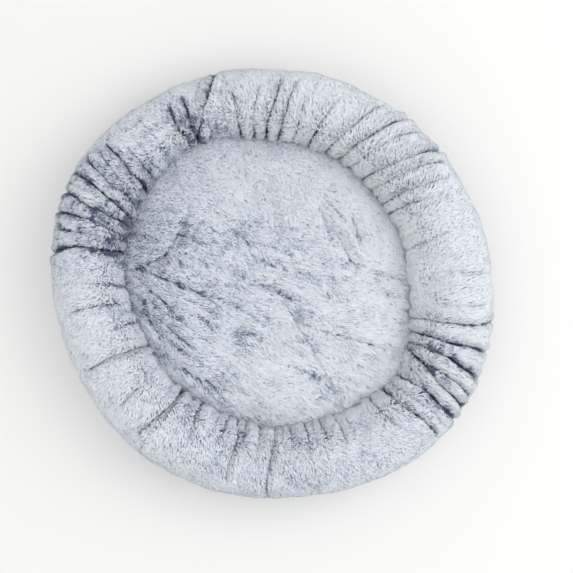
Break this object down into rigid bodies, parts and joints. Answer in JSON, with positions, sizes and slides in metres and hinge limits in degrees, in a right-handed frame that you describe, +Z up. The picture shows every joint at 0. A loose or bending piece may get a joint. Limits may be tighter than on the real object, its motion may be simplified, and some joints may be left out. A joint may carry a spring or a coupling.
{
  "type": "pet cushion bed",
  "caption": "Round pet bed: a stuffed, fur-covered bolster ring on a flat base cloth, with a loose fur-topped cushion in its nest and a zip low at the back.",
  "frame": {"origin": "centre of the flat underside, on the floor", "axes": "+Z up, +X along the bed's longest extent, +Y towards the back, where the zip is"},
  "size_m": [0.6004, 0.5796, 0.112],
  "materials": {
    "fur": "matte",
    "grey_cloth": "matte",
    "white_cloth": "matte",
    "fibre_fill": "matte",
    "zip_plastic": "satin",
    "zip_metal": "satin"
  },
  "bodies": {
    "bed": {"ring_cover": "fur", "ring_liner": "white_cloth", "ring_fill": "fibre_fill", "gather_tape": "white_cloth", "base_panel": "grey_cloth", "care_label": "white_cloth", "zip_tape_upper": "grey_cloth", "zip_tape_lower": "grey_cloth", "zip_coil_upper": "zip_plastic", "zip_coil_lower": "zip_plastic", "zip_top_stop_upper": "zip_plastic", "zip_top_stop_lower": "zip_plastic", "zip_bottom_stop": "zip_metal"},
    "cushion": {"cushion_top": "fur", "cushion_underside": "grey_cloth", "cushion_fill": "fibre_fill"},
    "zip_slider": {"zip_slider": "zip_metal"},
    "zip_pull": {"zip_pull": "zip_metal"}
  },
  "joints": [
    {"name": "cushion_lift", "type": "slide", "parent": "bed", "child": "cushion", "axis": [0, 0, 1], "range_m": [0, 0.15]},
    {"name": "zip_slide", "type": "hinge", "parent": "bed", "child": "zip_slider", "pos_m": [0, 0, 0.016], "axis": [0, 0, 1], "range_deg": [0, 76]},
    {"name": "zip_pull_swing", "type": "hinge", "parent": "zip_slider", "child": "zip_pull", "pos_m": [0.17062, 0.20334, 0.016], "axis": [0, 0, -1], "range_deg": [0, 165]}
  ]
}
